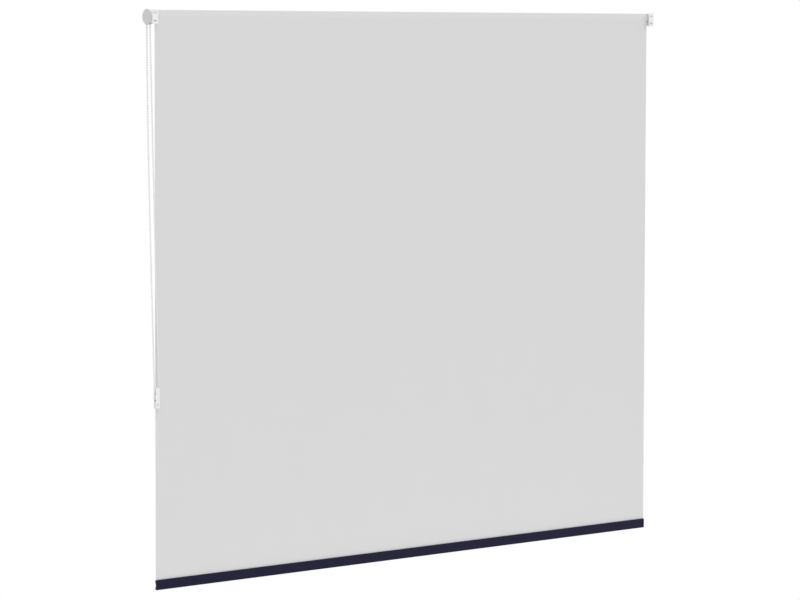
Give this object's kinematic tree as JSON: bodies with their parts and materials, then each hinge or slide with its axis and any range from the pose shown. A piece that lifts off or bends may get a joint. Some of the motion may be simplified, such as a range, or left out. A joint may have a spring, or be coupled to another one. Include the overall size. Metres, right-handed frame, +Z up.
{
  "type": "blackout roller blind",
  "caption": "Wall-mounted blackout roller blind with a bead-chain clutch, wall chain tensioner, sprung idle pin and weighted bottom bar.",
  "frame": {"origin": "on the wall plane, midway along the fabric, at the height of the roller's axis", "axes": "+X along the roller towards the chain end, +Y into the wall, -Y into the room, +Z up"},
  "size_m": [1.5486, 0.0495, 1.3027],
  "materials": {
    "bracket_paint": "white powder coat",
    "white_plastic": "moulded, satin",
    "grey_plastic": "moulded, satin",
    "chain_plastic": "white beads on a cord",
    "fabric": "light grey blackout coating",
    "tube": "mill finish",
    "spring_steel": "bright wire",
    "bar_paint": "dark navy satin powder coat",
    "cap_plastic": "moulded, dark navy"
  },
  "bodies": {
    "wall_fixings": {"bracket_chain_side": "bracket_paint", "bracket_idle_side": "bracket_paint", "clutch_core": "grey_plastic", "clutch_housing": "white_plastic", "clutch_cover": "grey_plastic", "bead_chain": "chain_plastic", "tensioner_base": "white_plastic", "tensioner_front": "white_plastic", "tensioner_axle": "spring_steel", "fabric_sheet": "fabric"},
    "roller": {"roller_tube": "tube", "tube_spline": "white_plastic", "fabric_roll": "fabric", "drive_hub": "grey_plastic", "wrap_spring_inner": "spring_steel", "wrap_spring_outer": "spring_steel", "idle_plug": "white_plastic", "idle_plug_cap": "grey_plastic", "idle_pin_spring": "spring_steel"},
    "sprocket": {"chain_sprocket": "white_plastic", "drive_fork": "grey_plastic"},
    "pin": {"idle_pin": "grey_plastic"},
    "bar": {"bottom_bar": "bar_paint", "bar_spline": "white_plastic", "bar_end_cap_chain_side": "cap_plastic", "bar_end_cap_idle_side": "cap_plastic"},
    "pulley": {"tensioner_pulley": "white_plastic"}
  },
  "joints": [
    {"name": "blind_raise", "type": "slide", "parent": "wall_fixings", "child": "bar", "axis": [0, 0, 1], "range_m": [0, 1.2317], "deforming": ["fabric_sheet"]},
    {"name": "roller_turn", "type": "hinge", "parent": "wall_fixings", "child": "roller", "pos_m": [0, -0.032, 0], "axis": [1, 0, 0], "range_deg": [0, 4621]},
    {"name": "sprocket_turn", "type": "hinge", "parent": "wall_fixings", "child": "sprocket", "pos_m": [0, -0.032, 0], "axis": [1, 0, 0], "range_deg": [0, 4621]},
    {"name": "pulley_turn", "type": "hinge", "parent": "wall_fixings", "child": "pulley", "pos_m": [0.7653, -0.00455, -0.8485], "axis": [0, 1, 0], "range_deg": [0, 4621]},
    {"name": "idle_pin_press", "type": "slide", "parent": "roller", "child": "pin", "axis": [1, 0, 0], "range_m": [0, 0.005], "stiffness_N_per_m": 400, "springref_m": -0.01, "deforming": ["idle_pin_spring"]}
  ],
  "couplings": [
    {"joint": "roller_turn", "follows": "blind_raise", "rad_per_m": 65.466},
    {"joint": "sprocket_turn", "follows": "blind_raise", "rad_per_m": 65.466},
    {"joint": "pulley_turn", "follows": "blind_raise", "rad_per_m": 65.466}
  ]
}
